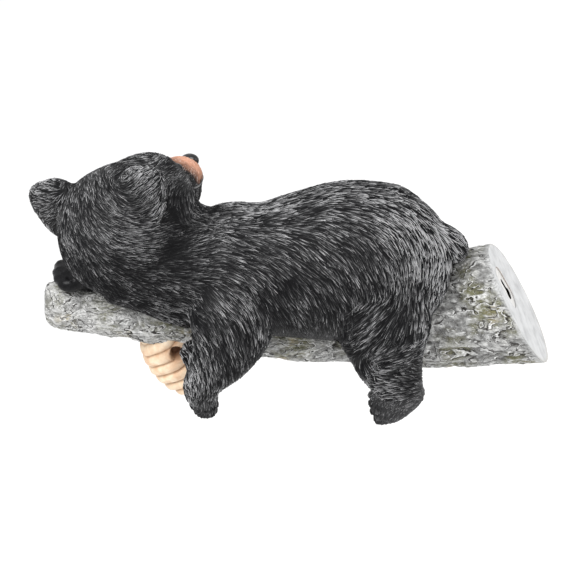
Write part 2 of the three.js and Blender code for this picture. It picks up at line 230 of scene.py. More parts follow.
def carried(stations, ends=(0.3, 0.3), level=(0, 0, 1), rings=56, sides=40):
    """Ellipses carried along the path through stations [x, y, z, half width, half height]. Each
    end rounds off over its share of the path as sqrt(1 - (1 - t/end)^2)."""
    share = (np.arange(rings) + 0.5) / rings
    t = 0.25 * share + 0.75 * (1 - np.cos(np.pi * share)) / 2
    swell = dome(t / ends[0]) * dome((1 - t) / ends[1])
    sample = along(stations, t)
    ahead = along(stations, t + 0.02)[:, :3] - along(stations, t - 0.02)[:, :3]
    across = unit(np.cross(level, ahead))
    up = unit(np.cross(ahead, across))
    angle = np.arange(sides) * 2 * np.pi / sides
    wide = (sample[:, 3] * swell)[:, None, None] * np.cos(angle)[None, :, None]
    high = (sample[:, 4] * swell)[:, None, None] * np.sin(angle)[None, :, None]
    tube = sample[:, None, :3] + wide * across[:, None] + high * up[:, None]
    return closed_grid(tube, *along(stations, np.array([0.0, 1.0]))[:, :3])


def egg(centre, halves, axes=np.eye(3), columns=36, rows=20):
    """An ellipsoid on its own three axes."""
    latitude = (np.arange(rows) + 0.5) / rows * np.pi
    turn = np.arange(columns) * 2 * np.pi / columns
    a = np.sin(latitude)[:, None] * np.cos(turn)[None]
    b = np.cos(latitude)[:, None] + 0 * turn[None]
    c = np.sin(latitude)[:, None] * np.sin(turn)[None]
    unit = np.stack([a, b, c], -1) * np.asarray(halves, float)
    centre = np.asarray(centre, float)
    axes = np.asarray(axes, float)
    poles = np.array([1, -1]) * halves[1]
    ends = centre + poles[:, None] * axes[1]
    points, faces = closed_grid(unit @ axes + centre, *ends)
    return points, [f[:, ::-1] for f in faces]


# %% [markdown]
# ## The cub
#
# Its forms are in hundredths of its length, which is 300 mm. The head has directions of its own:
# where the face looks, the cub's left, and its crown.

# %% The head's directions
CUB = 3.0
CUB_AT = np.array([50, 0, -8.5])
FACE = unit(np.array([-0.54, -0.83, 0.15]))
CROWN = unit(np.cross(FACE, [0.704, -0.541, -0.462]))
LEFT = np.cross(CROWN, FACE)
HEAD = np.array([82, 0, 25.2])
HEAD_AXES = np.array([FACE, LEFT, CROWN])
HEAD_REACH = 23.5  # what lies nearer than this to HEAD belongs to it


def on_head(out, aside, up):
    """A point from the middle of the head: out of the face, to the cub's left, to the crown."""
    return HEAD + out * FACE + aside * LEFT + up * CROWN


def cub_to_row(points):
    """Hundredths of the cub's length to the row's frame."""
    return to_row(points * CUB + CUB_AT)


def row_to_cub(points):
    """The way back from cub_to_row."""
    return (to_branch(points) - CUB_AT) / CUB


# %% Trunk, neck and head
forms = [
    carried([
        [0, 0, 14.2, 18.5, 17], [9, 0, 14.6, 19.6, 18.6], [17.5, 0, 15, 20.2, 19.7],
        [27, 0, 15, 20.2, 20.2], [38, 0, 13.8, 18.6, 18.2], [47, 0, 12.6, 17, 16.6],
        [54, 0, 12.5, 17, 17], [60, 0, 12, 16.4, 16.6], [72, 0, 10, 13, 14],
    ], ends=(0.24, 0.2), rings=90, sides=80),
    carried([
        [50, 0, 12, 13, 13], [63.5, 0, 12.4, 14.5, 14.6], [72.5, 0, 17, 15.6, 15.4],
        [82, 0, 22, 16.6, 16.6], [94, 0, 24, 12, 12],
    ], ends=(0.25, 0.25), rings=60, sides=60),
    carried([[10, 0, 21.6, 6.2, 5.2], [4, 0, 21, 5.6, 5], [-3.8, 0, 17.2, 4.2, 4]],
            ends=(0.3, 0.35)),
]
skull = [
    [*on_head(-18, 0, 0), 15, 15], [*on_head(-9, 0, -0.2), 17.4, 16.7],
    [*on_head(0, 0, -0.3), 18, 16.6], [*on_head(8.5, 0, -0.4), 16.8, 14.6],
    [*on_head(14, 0, -0.2), 13.4, 12],
    [*on_head(18, 0, -1.4), 8.8, 8.4], [*on_head(22.5, 0, -1.3), 6.8, 6.4],
    [*on_head(29.6, 0, -1.8), 4.8, 4.2],
]
chin = [[*on_head(10, 0, -6.5), 7, 4.8], [*on_head(20, 0, -6.4), 5, 3.2],
        [*on_head(27, 0, -5.2), 3.4, 2.2]]
forms += [
    carried(skull, ends=(0.3, 0.1), level=CROWN, rings=80, sides=60),
    carried(chin, ends=(0.2, 0.25), level=CROWN),
    egg(on_head(9, -1, 5.5), [8, 9.8, 8.2], HEAD_AXES),
]
ear_roots, ear_axes = {}, {}
for side in (-1, 1):
    out = side * LEFT + 0.62 * CROWN
    through = unit(FACE - 0.35 * CROWN)
    level = unit(np.cross(through, out))
    flat = np.cross(level, through)
    root = on_head(-2, 18 * side, 11.5)
    ear_roots[side], ear_axes[side] = root, (level, through, flat)
    shell, faces = carried([
        [*(root - 8 * flat), 7.8, 3.6], [*(root - 2 * flat), 7.5, 3.1],
        [*(root + 3 * flat), 5, 2.5], [*(root + 7 * flat), 2.3, 1.8],
    ], ends=(0.2, 0.3), level=through)
    cup = (shell - root - 1.2 * flat) @ np.array([level, through, flat]).T
    hollow = np.clip(1 - (cup[:, 0] / 5.6) ** 2 - (cup[:, 2] / 5.8) ** 2, 0, 1) * (cup[:, 1] > 0)
    shell = shell - (hollow * 3.2)[:, None] * through
    forms += [
        (shell, faces),
        egg(on_head(12.6, 6.2 * side, 6), [5.6, 5.8, 5.4], HEAD_AXES),
        egg(on_head(7, 9.4 * side, -5.2), [8.4, 7.4, 7.4], HEAD_AXES),
        egg(on_head(16.2, 5.8 * side, 3.4), [1.8, 2.2, 1.5], HEAD_AXES),
    ]

# %% Limbs
forms += [
    carried([
        [55, 3, 17, 9, 8], [55, 10.2, 12, 10.6, 8.6], [55.4, 14.6, 4.5, 10.4, 8.8],
        [58, 17, -2.4, 7.7, 7.4], [61.4, 17.6, -7.6, 5.1, 6.2], [63, 17, -12.2, 4.3, 5],
        [62.1, 16, -17.2, 3.6, 4.2], [60.9, 14.8, -21.6, 2.7, 3.4],
    ], ends=(0.2, 0.13), level=(0, 1, 0)),
    egg([65, 10.8, -5.6], [3.2, 3.6, 3.5]),
    carried([
        [52, -5, 17, 9, 9], [56, -11, 10.5, 9.6, 9.6], [64.5, -14.4, 3.8, 8.2, 8],
        [75, -13.6, 2, 6.6, 6.4], [85, -8.8, 4.8, 5.8, 5.2], [92, -2.4, 9.4, 5.6, 4.1],
        [98.5, 0.8, 11.8, 4.8, 3],
    ], ends=(0.2, 0.1)),
]
forms += [egg([61.2 + 1.7 * k, 13, -20.8 + 0.4 * k * k], [0.8, 2, 1.2]) for k in (-1, 0, 1)]
forms += [
    egg([97.4 - 0.4 * (k - 1) ** 2, -3 + 2.4 * k, 11.6 - 0.3 * k], [3.6, 1.9, 2.1])
    for k in range(4)
]
for side in (-1, 1):
    mirror = np.array([1, side, 1, 1, 1])
    leg = np.array([
        [17.5, 3, 17, 9, 8], [17.2, 10.6, 11, 12, 9.2], [16.8, 14.4, 3.4, 11.6, 9.2],
        [15.6, 16.6, -3.6, 8.8, 7.6], [13.3, 16.8, -10.8, 6.4, 6], [12.4, 16, -15.5, 5.4, 4.8],
        [12.2, 15.6, -19.6, 4.8, 4],
    ])
    foot = np.array([
        [7.6, 15.4, -12, 4.4, 3.2], [10.9, 15.4, -14.6, 4.6, 4.2],
        [15.5, 15.8, -17.8, 4.3, 5], [19.2, 15.8, -18.6, 3.2, 4.7],
    ])
    forms += [carried(leg * mirror, ends=(0.2, 0.2), level=(0, 1, 0)),
              carried(foot * mirror, ends=(0.2, 0.2))]
    forms += [egg([19 - 0.225 * k * (k - 1), side * 16, -15 - 2.35 * k], [1.9, 2.1, 1.5])
              for k in range(4)]
print(len(forms), "forms")

# %% [markdown]
# The forms are fused into one skin and eased where they meet, as modelling clay is.

# %% Skin
rough_cub = make("cub_forms", [(cub_to_row(points), faces) for points, faces in forms])
fuse = rough_cub.modifiers.new("fuse", "REMESH")
fuse.mode = "VOXEL"
fuse.voxel_size = 2.3 * MM
fuse.use_smooth_shade = True
ease = rough_cub.modifiers.new("ease", "SMOOTH")
ease.factor = 0.5
ease.iterations = 4
seen = rough_cub.evaluated_get(bpy.context.evaluated_depsgraph_get())
skin_mesh = bpy.data.meshes.new_from_object(seen)
skin_mesh.name = "cub_skin"
bpy.data.objects.remove(rough_cub)
skin_piece = placed("cub_skin", skin_mesh)
skin_points = rows_of(skin_mesh.vertices, "co", 3) / MM
print("skin", len(skin_points), "points")

# %% Furrows eased
def eased(points, edges, rounds):
    """Each point moved to the mean of its neighbours, over and over."""
    both = np.concatenate([edges, edges[:, ::-1]])
    degree = np.bincount(both[:, 0], minlength=len(points))[:, None]
    for _ in range(rounds):
        points = np.stack([np.bincount(both[:, 0], points[both[:, 1], k], len(points))
                           for k in range(3)], 1) / degree
    return points


def between_toes(cub_points):
    """1 in the middle of each groove between the toes of the hind feet."""
    x, y, z = cub_points.T
    grooves = sum(np.exp(-((z - at) / 0.55) ** 2) for at in (-16.2, -18.5, -20.9))
    return grooves * np.clip((x - 15) / 3.5, 0, 1) * (np.abs(y) > 9) * (z < -13)


edges = rows_of(skin_mesh.edges, "vertices", 2, np.int32)
point_normals = rows_of(skin_mesh.vertices, "normal", 3)
cub = row_to_cub(skin_points)
from_neck = np.linalg.norm((cub - [64, 3, 19]) / [13, 18, 15], axis=1)
by_neck = np.clip(1.6 * (1 - from_neck), 0, 1)[:, None]
moved = eased(skin_points.astype(float), edges, 160) - skin_points
outward = ((moved * point_normals).sum(1) > 0)[:, None]
skin_points = (skin_points + moved * by_neck * outward).astype(np.float32)
skin_points += (eased(skin_points.astype(float), edges, 6) - skin_points) * by_neck
skin_points = skin_points - point_normals * (2.0 * between_toes(cub))[:, None]
skin_mesh.vertices.foreach_set("co", (skin_points * MM).astype(np.float32).ravel())
skin_mesh.update()
print("furrow filled by", (moved * by_neck * outward).max().round(1), "mm at most")

# %% [markdown]
# ## The lie of the coat
#
# Seen from the near side, the coat lies as these marks say: a place in the picture and the turn
# of the hair there, in degrees clockwise from the right. The far side of the body mirrors it, and
# on the hidden side of the head the hair runs back from the nose.

# %% Marks
LIE = np.array([
    (42, 196, 190), (60, 182, 200), (60, 215, 160), (76, 186, 95), (72, 215, 75), (68, 240, 75),
    (85, 225, 60), (100, 232, 42), (82, 262, 68), (95, 282, 50), (100, 175, 85), (110, 200, 40),
    (118, 218, 8), (125, 230, 0), (136, 214, 335), (142, 200, 320), (152, 188, 312),
    (134, 178, 312), (158, 205, 305), (118, 248, 12), (142, 267, 5), (110, 266, 35),
    (125, 288, 30), (150, 287, 15), (170, 300, 20), (170, 250, 350), (186, 236, 345),
    (170, 190, 100), (183, 205, 70), (194, 217, 20), (152, 163, 170), (125, 164, 150),
    (184, 172, 150), (200, 245, 350), (198, 272, 350), (228, 214, 338), (250, 204, 350),
    (280, 203, 355), (230, 250, 12), (225, 275, 30), (252, 248, 22), (208, 292, 48),
    (225, 305, 52), (246, 315, 60), (234, 335, 72), (212, 347, 80), (246, 350, 80),
    (205, 375, 90), (208, 402, 92), (256, 290, 55), (262, 322, 72), (192, 330, 70),
    (340, 187, 4), (300, 211, 350), (352, 201, 14), (324, 235, 30), (340, 259, 50),
    (300, 263, 46), (280, 287, 58), (312, 299, 70), (340, 287, 66), (320, 330, 88),
    (284, 330, 88), (380, 215, 35), (390, 241, 56), (376, 269, 70), (400, 255, 80),
    (420, 225, 52), (430, 255, 85), (410, 284, 95), (390, 303, 135), (370, 311, 145),
    (360, 321, 155), (380, 331, 140), (356, 347, 175), (400, 327, 118), (420, 315, 92),
    (420, 347, 140), (392, 355, 150), (366, 358, 60), (390, 375, 175), (416, 375, 172),
    (400, 391, 160), (384, 408, 110), (422, 385, 150), (446, 231, 50), (454, 246, 80),
    (440, 256, 90), (350, 320, 80), (436, 300, 95), (404, 405, 130),
], float)
NOSE_AT = on_head(29.6, 0, 0.1)
NOSE = cub_to_row(NOSE_AT)


def flat_on(vectors, normals):
    """The part of each vector that lies in the surface, made one long."""
    return unit(vectors - normals * np.sum(vectors * normals, 1)[:, None])


def lie_of_coat(points, normals):
    """Which way the hair's tips point: the marks blended by the inverse cube of their distance
    in the picture, laid on the surface."""
    cub = row_to_cub(points)
    on_the_head = np.linalg.norm(cub - HEAD, axis=1) < HEAD_REACH
    far = (cub[:, 1] < 0) & ~on_the_head
    flip = np.where(far, -1.0, 1.0)[:, None] * np.array([0, 1, 0]) + np.array([1, 0, 1])
    seen_at = cub_to_row(cub * flip)
    facing = normals * flip
    spot = ORIGIN_AT + np.stack([seen_at @ RIGHT, -(seen_at @ UP)], 1) / POINT
    turn = np.radians(LIE[:, 2])
    vectors = np.cos(turn)[:, None] * RIGHT - np.sin(turn)[:, None] * UP
    gap = ((spot[:, None] - LIE[None, :, :2]) ** 2).sum(-1) + 9
    flow = unit(gap ** -1.7 @ vectors)
    toward = facing @ BACK
    flow = flow - BACK * ((flow * facing).sum(1) / np.maximum(toward, 0.35))[:, None]
    flow = flow * flip
    spine = np.exp(-((cub[:, 1] / 4.5) ** 2)) * (cub[:, 2] > 12) * ~on_the_head
    backward = to_row(np.array([[-1.0, 0, 0]])) - to_row(np.zeros((1, 3)))
    flow = unit(flow) * (1 - spine)[:, None] + backward * spine[:, None]
    behind = np.clip((0.15 - toward) / 0.3, 0, 1)[:, None] * on_the_head[:, None]
    flow = unit(flow) * (1 - behind) + unit(points - NOSE) * behind
    return flat_on(flow, normals)


# %% [markdown]
# ## The coat
#
# A lock is a low blade, 8 triangles: a root, two rings of left edge, ridge and right edge, and
# a tip. Roots are spread over the skin, one to each small cell of space. Each ring is laid on the
# nearest skin, so the blade bends with the body.

# %% Roots
rng = np.random.default_rng(7)
skin_mesh.calc_loop_triangles()
triangles = rows_of(skin_mesh.loop_triangles, "vertices", 3, np.int32)
corners = skin_points[triangles]
area_vectors = np.cross(corners[:, 1] - corners[:, 0], corners[:, 2] - corners[:, 0]) / 2
areas = np.linalg.norm(area_vectors, axis=1)
print("skin area", int(areas.sum()), "square mm")
chosen = rng.choice(len(areas), 520_000, p=areas / areas.sum())
u, v = rng.random((2, len(chosen), 1))
u, v = np.where(u + v > 1, 1 - u, u), np.where(u + v > 1, 1 - v, v)
roots = corners[chosen, 0] * (1 - u - v) + corners[chosen, 1] * u + corners[chosen, 2] * v
first = []
from_head = np.linalg.norm(row_to_cub(roots) - HEAD, axis=1)
for cell, region in ((1.38, from_head < 22), (1.6, (from_head >= 22) & (from_head < 34)),
                     (1.86, from_head >= 34)):
    numbers = np.flatnonzero(region)
    _, one = np.unique(np.floor(roots[region] / cell).astype(int), axis=0, return_index=True)
    first.append(numbers[one])
first = np.sort(np.concatenate(first))
roots = roots[first]
root_normals = unit(area_vectors[chosen][first])

# %% Warm paint on the muzzle
def warm_of(cub_points):
    """1 on the top and sides of the muzzle, fading to 0 at its root and at the jaw."""
    out, _, up = ((cub_points - HEAD) @ HEAD_AXES.T).T
    ragged = 1.6 * (noise(9, *(cub_points * 1.1).T) - 0.5)
    root_fade = np.clip((out - 22.0 + 0.2 * up + ragged) / 4.0, 0, 1)
    return root_fade * np.clip((up + 4.0 + ragged) / 2.2, 0, 1)



def worn_of(cub_points):
    """1 at the low ends of the paws, where the paint is rubbed, fading to 0 above them."""
    return np.clip((-9 - cub_points[:, 2]) / 4, 0, 1)


# %% Hollows
moved = eased(skin_points.astype(float), edges, 36) - skin_points
hollow_at = (moved * point_normals).sum(1)
hollow = hollow_at[triangles[chosen[first]]].mean(1)
for key, share_of in (("worn", worn_of), ("warm", warm_of)):
    layer = skin_mesh.attributes.new(key, "FLOAT", "POINT")
    layer.data.foreach_set("value", share_of(row_to_cub(skin_points)).astype(np.float32))
print("hollows", np.percentile(hollow, [5, 50, 95]).round(2))

# %% How long, wide and bright each lock is
where = row_to_cub(roots)
bore = to_branch(roots)
ROOT_DROP, BRANCH_SAG = 4.5, 29  # of the middle line at the wall, and at its lowest
INSIDE = 17  # nearer than this to the middle line, a root lies in the wood


def branch_middle(x):
    """The middle line's height: lowest at 36% of the way, and back to 0 at the tip."""
    share = np.clip(x / BRANCH_LENGTH, 0, 1)
    dip = np.sin(np.minimum(share / 0.36, 1) * np.pi / 2) ** 2
    back = np.clip((share - 0.36) / 0.64, 0, 1)
    return np.where(share < 0.36, -ROOT_DROP - (BRANCH_SAG - ROOT_DROP) * dip,
                    -BRANCH_SAG * (1 - back ** 2 * (1.9 - 0.9 * back)))


inside = np.hypot(bore[:, 1], bore[:, 2] - branch_middle(bore[:, 0])) < INSIDE
muzzle_out = (where - HEAD) @ FACE
muzzle_off = np.linalg.norm(where - on_head(24, 0, -1), axis=1)
on_muzzle = (muzzle_off < 9.5) & (muzzle_out > 17)
nose_near = np.linalg.norm(where - NOSE_AT, axis=1) < 3.4
smooth_paw = np.linalg.norm(where - [97, 1, 11], axis=1) < 8.5
by_lid = np.min([
    np.linalg.norm(where - on_head(17.4, s * 7.0, 4.5), axis=1) for s in (-1, 1)], 0)
keep = ~inside & ~nose_near & ~smooth_paw & (by_lid > 3.2)
roots, root_normals, where, on_muzzle, hollow = (
    a[keep] for a in (roots, root_normals, where, on_muzzle, hollow))
count = len(roots)
paw = (where[:, 2] < -11) | ((where[:, 0] > 87) & (where[:, 2] < 14.5))
on_body = np.clip((np.linalg.norm(where - HEAD, axis=1) - 17) / 14, 0, 1)


def by_region(muzzle, paws, elsewhere):
    """A value for each lock, by where it grows."""
    return np.where(on_muzzle, muzzle, np.where(paw, paws, elsewhere))


length = by_region(3.2, 6.0, 11.5 + 3.5 * on_body) * rng.uniform(0.75, 1.3, count)
width = by_region(0.5, 0.5, 0.42 + 0.18 * on_body) * rng.uniform(0.75, 1.3, count)
height = by_region(0.4, 0.55, 0.6 + 0.25 * on_body) * rng.uniform(0.5, 1.5, count)
height = height * np.clip(1 - 0.1 * (hollow + 0.9), 0.7, 1.1)
warm = warm_of(where)
print(count, "locks")

# %% Blades laid on the skin
skin_tree = BVHTree.FromPolygons(skin_points.tolist(), triangles.tolist())
flow = lie_of_coat(roots, root_normals)
sway = 0.36 * (noise(3, *(roots / 15).T) - 0.5) + rng.normal(0, 0.05, count)
sideward = np.cross(root_normals, flow)
flow = unit(flow + sideward * sway[:, None])


def on_skin(points):
    """The nearest point of the skin and its normal there."""
    found = [skin_tree.find_nearest(p)[:2] for p in points.tolist()]
    return (np.array([f[0] for f in found]), np.array([f[1] for f in found]))


stops = np.array([0, 0.36, 0.76, 1.0])
half_widths = np.array([0, 1.0, 0.8, 0])
ridge_heights = np.array([-0.5, 0.7, 1.0, 0.15])
rows = []
bend = rng.normal(0, 0.06, count)
astray = np.zeros(count, bool)
before, stop_before = roots, 0.0
for stop, half_width, ridge in zip(stops, half_widths, ridge_heights):
    reach = roots + (flow + sideward * (bend * stop)[:, None]) * (length * stop)[:, None]
    at, normal = on_skin(reach)
    astray |= np.linalg.norm(at - before, axis=1) > 1.3 * length * (stop - stop_before) + 0.8
    before, stop_before = at, stop
    across = unit(np.cross(normal, flow))
    lift = normal * (height * ridge)[:, None]
    if half_width == 0:
        rows.append([at + lift])
        continue
    spread = across * (width * half_width)[:, None]
    rows.append([at - spread - normal * 0.35, at + lift, at + spread - normal * 0.35])
blades = np.stack([p for row in rows for p in row], 1)
print(blades.shape)

# %% [markdown]
# Silver paint was dry-brushed over the black: it sits on the ridges, more on the back, the crown
# and the rump than low on the flanks, and in soft patches. Light and shade are painted into it
# too: locks that face up get more silver, and hollows, toe grooves and the furrow before each ear
# get less.

# %% Silver, with painted light and shade
ridge_of = np.array([0, 0, 1, 0, 0, 1, 0, 0.8])
tip_of = np.array([0.1, 0.5, 0.6, 0.5, 0.8, 1, 0.8, 0.9])
patch = noise(11, *(roots / 26).T)
fine = noise(12, *(roots / 7).T)
# Locks that face up get more silver: painted light from above.
skyward = np.clip(0.5 + 0.5 * root_normals @ np.array([-0.2, 0.1, 0.97]), 0, 1)
lit = 0.38 + 0.12 * skyward + 0.22 * (patch - 0.5) + 0.3 * (fine - 0.5)
rump = np.exp(-(((where - [6, 8, 22]) / [14, 14, 12]) ** 2).sum(1))
thigh = np.exp(-(((where - [14, 20, 2]) / [12, 12, 13]) ** 2).sum(1))
# More silver on the rump and thigh; less in hollows, as painted shade.
lit = lit + 0.26 * rump + 0.06 * thigh - 0.04 * np.clip(hollow + 0.9, 0, 2)
for side in (-1, 1):
    across_ear, before_ear, up_ear = (
        (where - ear_roots[side]) @ np.array(ear_axes[side]).T).T
    spread = np.exp(-(across_ear / 9) ** 2 - (up_ear / 9) ** 2)
    # Painted shade in the furrow before the ear, under its rim.
    lit = lit - 0.5 * spread * np.exp(-((before_ear - 5.6) / 2.6) ** 2)
    from_root = np.hypot(across_ear, up_ear)
    # A painted highlight along the ear's rim.
    lit = lit + 0.32 * np.exp(-((from_root - 7.2) / 1.5) ** 2 - ((before_ear + 0.6) / 1.8) ** 2)
    lit = lit + 0.13 * spread * np.exp(-((before_ear + 2.6) / 3) ** 2)
bright = 1.34 + 0.12 * on_body
lit = (lit + rng.normal(0, 0.1, count)) * np.where(rng.random(count) < 0.36, 0.25, bright)
belly = 1 - 0.42 * np.exp(-((where[:, 2] - 1) / 5.5) ** 2 - ((where[:, 0] - 37) / 13) ** 2)
lit = lit + 0.13 * np.clip((3 - where[:, 2]) / 8, 0, 1)
lit = np.maximum(lit * belly, 0.32 - 0.08 * on_body)
lit = np.where(paw, 0.55 + 0.6 * (lit - 0.5), lit)
# Less silver in the grooves between the toes: painted shade.
lit = lit * (1 - 0.8 * np.clip(between_toes(where), 0, 1))
silver = np.clip(lit, 0, 1.3)[:, None] * ridge_of * tip_of
silver = np.clip(silver + 0.05 * tip_of * (1 - ridge_of), 0, 1)
worn = worn_of(where)[:, None]
silver = silver * (1 - worn) + (0.55 * silver + 0.3) * worn
# And less again on the ridges there: painted shade.
silver = silver * (1 - 0.7 * np.clip(between_toes(where), 0, 1))[:, None]

BLADE_POINTS = 8
BLADE_QUADS = np.array([[1, 2, 5, 4], [2, 3, 6, 5]])
BLADE_ENDS = np.array([[0, 2, 1], [0, 3, 2], [4, 5, 7], [5, 6, 7]])


def coat(name, mask):
    """The locks of one region as one mesh."""
    n = int(mask.sum())
    starts = (np.arange(n) * BLADE_POINTS)[:, None, None]
    faces = [(BLADE_QUADS + starts).reshape(-1, 4), (BLADE_ENDS + starts).reshape(-1, 3)]
    return make(name, [(blades[mask].reshape(-1, 3), faces)],
                {"silver": silver[mask].ravel(), "warm": np.repeat(warm[mask], BLADE_POINTS)})


is_head = np.linalg.norm(where - HEAD, axis=1) < HEAD_REACH
is_limb = (where[:, 2] < 3) & ~is_head
front = (where[:, 0] > 40) & ~is_head & ~is_limb
body = ~on_muzzle & ~astray
coats = {
    "coat_head": is_head & body,
    "coat_shoulders": front & body,
    "coat_back": ~front & ~is_head & ~is_limb & body,
    "coat_limbs": is_limb & body,
}
print(int(astray.sum()), "locks left out where a limb turns away under them")
coat_pieces = [coat(name, mask) for name, mask in coats.items()]
muzzle_coat = coat("coat_muzzle", on_muzzle)

# %% [markdown]
# ## The branch
#
# The bark is a grid round the branch's middle line. Its first ring lies in the wall's plane.

# %% Bark relief
ROWS, SIDES = 360, 250
ROOT_LENGTH, ROOT_HALF_HEIGHT, ROOT_HALF_WIDTH = 122, 50.5, 38
TIP_ROUNDING = 17
angle = np.arange(SIDES) * 2 * np.pi / SIDES
t = np.linspace(0, 1, ROWS)[:, None] ** 0.97


def girth(x):
    """Half width, half height and aside of the branch at x: it swells into the root by
    sin(pi/2 (1 - x/ROOT_LENGTH))^1.1."""
    swell = np.sin(np.clip(1 - x / ROOT_LENGTH, 0, 1.3) * np.pi / 2) ** 1.1
    tall = ROOT_HALF_HEIGHT * np.cos(RISE) + ROOT_DROP
    thin = 20.5 - 2.5 * np.clip((x / BRANCH_LENGTH - 0.4) / 0.5, 0, 1)
    wide = thin + (ROOT_HALF_WIDTH - thin) * swell
    return wide, thin + (tall - thin) * swell, -ASIDE * swell


def bark_place(x, relief):
    """Where the bark's surface is at x and the grid's angles, with relief in mm."""
    wide, tall, aside = girth(x)
    bevel = 0.5 + 0.5 * dome((BRANCH_LENGTH - x) / TIP_ROUNDING)
    y = aside + (wide * bevel + relief) * np.cos(angle)
    z = branch_middle(x) + (tall * bevel + relief) * np.sin(angle)
    return np.stack([x + 0 * y, y, z], -1)


def bark_relief(x):
    """Three layers of peeling flakes with sharp edges, longer along the branch than round it,
    on long swellings, with a fine grain. The noise is read in space, so a flake has the same
    size on the thin branch and on its root."""
    at = bark_place(x, 0.0)
    a, b, c = at[..., 0], at[..., 1] + 90, at[..., 2] + 130
    a = a + 60
    swirl = 5 * noise(20, a / 23, b / 17, c / 17)
    big = noise(21, a / 30, b / 15, c / 15)
    ridged = 1 - np.abs(2 * noise(22, a / 15, (b + swirl) / 7, (c + swirl) / 7) - 1)
    layers = 0.0
    for seed, long, wide, high, sharp in (
        (23, 19, 8.5, 0.95, 6), (24, 10, 4.6, 0.6, 5), (25, 5.5, 2.6, 0.36, 4)
    ):
        field = 3.4 * noise(seed, (a + 2 * swirl) / long, (b + swirl) / wide, (c - swirl) / wide)
        layers = layers + high * (np.floor(field) + np.clip((field % 1) * sharp, 0, 1) - 1.7)
    grain = noise(26, a / 3.2, b / 1.2, c / 1.2)
    return 2.0 * (big - 0.5) + 1.0 * (ridged - 0.55) + layers + 0.5 * (grain - 0.5)


x = 12 + 0 * angle[None]
for _ in range(12):
    height_there = bark_place(x, 0.0)[..., 2]
    x = height_there * np.tan(RISE)
x = x + (BRANCH_LENGTH - x) * t
relief = bark_relief(x)
calm = np.clip((x - x[:1]) / 9, 0, 1)
relief = np.clip(relief, -2.4, 2.6) * (0.15 + 0.85 * calm)
bark_rings = bark_place(x, relief)


def blurred(values, reach):
    """A running mean along and round the grid, to compare each place with its surroundings."""
    total = values.copy()
    for axis in (0, 1):
        total = sum(np.roll(total, k, axis) for k in range(-reach, reach + 1)) / (2 * reach + 1)
    return total


# How far the bark stands out of its surroundings; the bark paint makes what stands out lighter and
# what is sunk darker, as painted light and shade.
standing = relief - blurred(relief, 3)
broad = relief - blurred(relief, 9)
cap_share = np.linspace(0.94, 0.06, 16)[:, None, None]
tip_middle = np.array([BRANCH_LENGTH - 1.5, 0, branch_middle(BRANCH_LENGTH)])
rim = bark_rings[-1][None]
cap = tip_middle + (rim - tip_middle) * cap_share
fibre = (noise(31, cap[..., 1] / 2.2, cap[..., 2] / 1.6)
         + noise(32, cap[..., 1] / 6, cap[..., 2] / 5))
cap[..., 0] += 2.6 * (fibre - 1.1) * (1 - 0.5 * cap_share[..., 0])
all_rings = np.concatenate([bark_rings, cap])
ends_grain = 0.9 * (fibre - 1.0)
points, faces = closed_grid(to_row(all_rings), np.zeros(3), to_row(tip_middle[None])[0])
faces = [faces[0], faces[2]]
bark = make("bark", [(points, faces)], {
    "standing": np.append(np.concatenate([standing, ends_grain]).ravel(), [0, 0]),
    "broad": np.append(np.concatenate([broad, ends_grain]).ravel(), [0, 0]),
    "thin": np.append((np.clip(all_rings[..., 0] / BRANCH_LENGTH, 0, 1) ** 1.5).ravel(), [1, 1]),
    "by_face": np.append(np.exp(-np.linalg.norm(all_rings - all_rings[:1], axis=-1) / 5).ravel(),
                         [0, 0]),
})

# %% [markdown]
# ## The wall face
#
# One grid runs from the bark's first ring inward: over the flat face, down into the seat of the
# hanger, across its ledge and into the pocket for the screw's head.

# %% Wall face
HANGER_ASIDE, HANGER_UP, HANGER_RADIUS, HANGER_STRAIGHT = 9.0, 17.0, 9, 9
POCKET_DEPTH = 9.4
FLAT_ROWS = 40


def oval(more, depth):
    """An upright slot with round ends at a depth behind the wall's plane."""
    radius = HANGER_RADIUS + more
    turn = np.arange(SIDES) * 2 * np.pi / SIDES
    across = radius * np.cos(turn)
    up = radius * np.sin(turn) + HANGER_STRAIGHT * np.tanh(6 * np.sin(turn))
    return np.stack([depth + 0 * turn, HANGER_ASIDE + across, HANGER_UP + up], -1)


rim = to_row(bark_rings[0])
rim[:, 0] = 0
lip = oval(0.3, 0.0)
across = np.linspace(0, 1, FLAT_ROWS)[:, None, None]
flat = rim[None] + (lip - rim)[None] * across
flat[..., 0] = 0.35 * np.clip(noise(41, flat[..., 1] / 5, flat[..., 2] / 5) - 0.35, 0, 1)
flat[0, :, 0] = 0
flat[-1, :, 0] = 0
steps = [oval(0.3, 0.4), oval(0.3, 2.4), oval(-1.2, 2.4), oval(-2.5, 2.4), oval(-2.5, 5.5),
         oval(-2.5, POCKET_DEPTH), oval(-5.5, POCKET_DEPTH)]
face_rings = np.concatenate([flat, np.array(steps)])
bottom = np.array([POCKET_DEPTH, HANGER_ASIDE, HANGER_UP])
points, faces = closed_grid(face_rings, np.zeros(3), bottom)
faces = [faces[0][:, ::-1], faces[2][:, ::-1]]
# The recess and the pocket are painted darker the deeper they go: painted shade.
deep = np.clip(points[:, 0] / 2.0, 0, 1)
edge = np.zeros(len(points))
edge[: SIDES * 3] = np.repeat([1, 0.6, 0.2], SIDES)
seat = np.exp(-((np.arange(len(points)) // SIDES - FLAT_ROWS + 0.5) / 0.8) ** 2)
beside, above = points[:, 1] - HANGER_ASIDE, points[:, 2] - HANGER_UP
# The seat line is made stronger above and towards the far side: painted shade under the recess's
# edge.
seat = seat * np.clip(0.45 - 0.08 * beside + 0.05 * above, 0.05, 1)
wall_face = make("wall_face", [(points, faces)], {"deep": deep, "edge": edge, "seat": seat})

# %% [markdown]
# ## The hive
#
# A lathed stack of coils that hangs under the branch, with a round way in on the near side.

